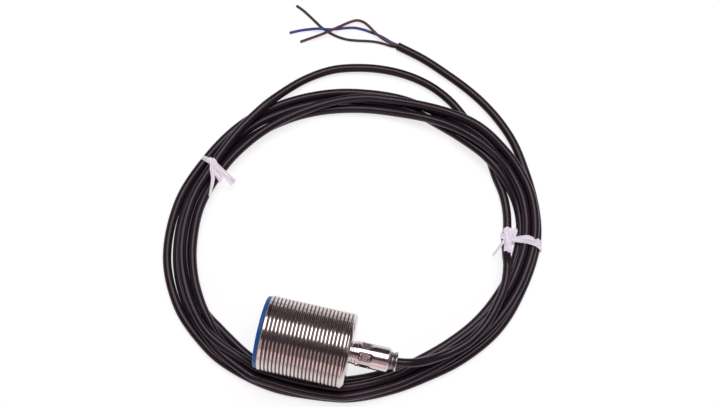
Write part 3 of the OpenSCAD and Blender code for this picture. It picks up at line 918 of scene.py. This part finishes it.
CRIMP_FLAT = 0.00465
CRIMP_FROM, CRIMP_TO = SLEEVE_X0 + 0.0009, SLEEVE_X0 + 0.0070
# Degrees the flats are turned by; each dent's place and half length; and the dents' depth
CRIMP_TURN = 41
DENTS = [(SLEEVE_X0 + 0.0018, 0.00055), (SLEEVE_X0 + 0.0056, 0.0007)]
DENT_DEPTH = 0.0002


def crimped(x, r, a):
    """Sleeve radius with the six pressed flats and the tool's small dents on one side."""
    if r < SLEEVE_R - 0.0009:
        return r
    sixth = math.radians(60)
    off = (a + math.radians(CRIMP_TURN)) % sixth - sixth / 2
    flat = CRIMP_FLAT / math.cos(off)
    press = smoothstep((x - CRIMP_FROM) / 0.0009) * smoothstep((CRIMP_TO - x) / 0.0022)
    r = r + (min(r, flat) - r) * press
    for at, half in DENTS:
        lengthways = smoothstep(1.3 - abs(x - at) / half)
        sideways = smoothstep(1.35 - abs(off) / 0.17)
        r -= DENT_DEPTH * lengthways * sideways * (math.cos(a) < 0)
    return r


sleeve_in = SPIGOT_R + 0.0001
sleeve = lathe("crimp_sleeve_formed", lines([
    (SLEEVE_X0, sleeve_in), (SLEEVE_X0, SLEEVE_R - 0.0002), (SLEEVE_X0 + 0.0002, SLEEVE_R),
    (SLEEVE_X1 - 0.0006, SLEEVE_R), (SLEEVE_X1 - 0.0001, SLEEVE_R - 0.00045),
    (SLEEVE_X1, SLEEVE_R - 0.00065), (SLEEVE_X1, sleeve_in),
], 0.00018), "outlet_metal", columns=216, shape=crimped)
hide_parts("crimp_sleeve")

RIM_R = 0.0041
cable_bore = CABLE_R + FIT
waist = [(SLEEVE_X1 + t * 0.0024, 0.0040 - 0.00065 * math.sin(math.pi * min(1, t * 1.02)))
         for t in np.linspace(0, 1, 12)]
collar = lathe("collar_formed", [(SLEEVE_X1, cable_bore)] + waist
               + arc(COLLAR_X1 - 0.0003, RIM_R - 0.0003, 0.0003, 120, 0, 8)
               + [(COLLAR_X1, cable_bore + 0.0005), (COLLAR_X1 - 0.0004, cable_bore)],
               "outlet_metal")
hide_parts("end_collar")

# ------------------------------------------------------------------ stage and light

scene = bpy.context.scene
scene.view_settings.view_transform = "Standard"


def look_at(obj, target):
    obj.rotation_mode = "QUATERNION"
    obj.rotation_quaternion = (Vector(target) - obj.location).to_track_quat("-Z", "Y")


def panel(name, place, target, size, radiance, colour=(1, 1, 1)):
    """A softbox of the given size in metres, its brightness the same whatever its size."""
    data = bpy.data.lights.new(name, "AREA")
    data.shape = "RECTANGLE"
    data.size, data.size_y = size
    data.energy = radiance * math.pi * size[0] * size[1]
    data.color = colour
    obj = bpy.data.objects.new(name, data)
    obj.location = place
    look_at(obj, target)
    scene.collection.objects.link(obj)


panel("top_box", (0, 0.38, 0.98), (0, 0.05, 0), (0.9, 0.70), 3.3, (1, 0.95, 0.94))
panel("near_high_box", (0.1, -0.90, 1.0), (0, 0, 0.02), (1.3, 0.65), 0.45, (1, 0.76, 0.76))
panel("near_low_box", (0.1, -1.30, 0.38), (0, 0, 0.02), (1.3, 0.75), 1.1, (1, 0.76, 0.75))
panel("left_box", (-1.3, 0.2, 0.55), (0, 0.04, 0), (0.7, 0.7), 0.35)
panel("right_box", (1.3, 0.2, 0.6), (0, 0.04, 0), (0.7, 0.6), 0.35)

world = bpy.data.worlds.new("studio")
scene.world = world
world.use_nodes = True
world.node_tree.nodes["Background"].inputs["Color"].default_value = (0.9, 0.62, 0.85, 1)
world.node_tree.nodes["Background"].inputs["Strength"].default_value = 0.05


def floor_material():
    """Pale table top that glows softly round the part, as if lit from below."""
    n = Nodes("floor")
    n.set(Roughness=0.85, Specular_IOR_Level=0.1, Emission_Color=(1, 1, 1, 1))
    place = n.separate()
    powers = []
    for axis, middle, reach in (("X", 0.0125, 0.17), ("Y", 0.066, 0.10)):
        off = n.maths("ABSOLUTE", n.maths("SUBTRACT", place[axis], middle))
        powers.append(n.maths("POWER", n.maths("DIVIDE", off, reach), 4.0))
    away = n.maths("POWER", n.maths("ADD", *powers), 0.25)
    glow = n.maths("DIVIDE", n.maths("SUBTRACT", 3.2, away), 2.0)
    n.join(n.ramp(glow, [(0, (0.74, 0.73, 0.74)), (0.9, (0.45, 0.45, 0.45))]),
           n.bsdf.inputs["Base Color"])
    n.join(n.ramp(glow, [(0, 0.12), (0.5, 0.4), (1, 0.76)]), n.bsdf.inputs["Emission Strength"])
    n.bump([(n.noise(60, 3), 0.05, 0.0001)])
    return n.mat


half = 1.5
floor_mesh = bpy.data.meshes.new("floor")
floor_mesh.from_pydata([(-half, -half, 0), (half, -half, 0), (half, half, 0), (-half, half, 0)],
                       [], [(0, 1, 2, 3)])
floor_mesh.materials.append(floor_material())
floor = bpy.data.objects.new("floor", floor_mesh)
scene.collection.objects.link(floor)
floor.location.z = -0.0001
floor.rotation_euler.z = math.radians(AZIMUTH)

bpy.context.view_layer.update()
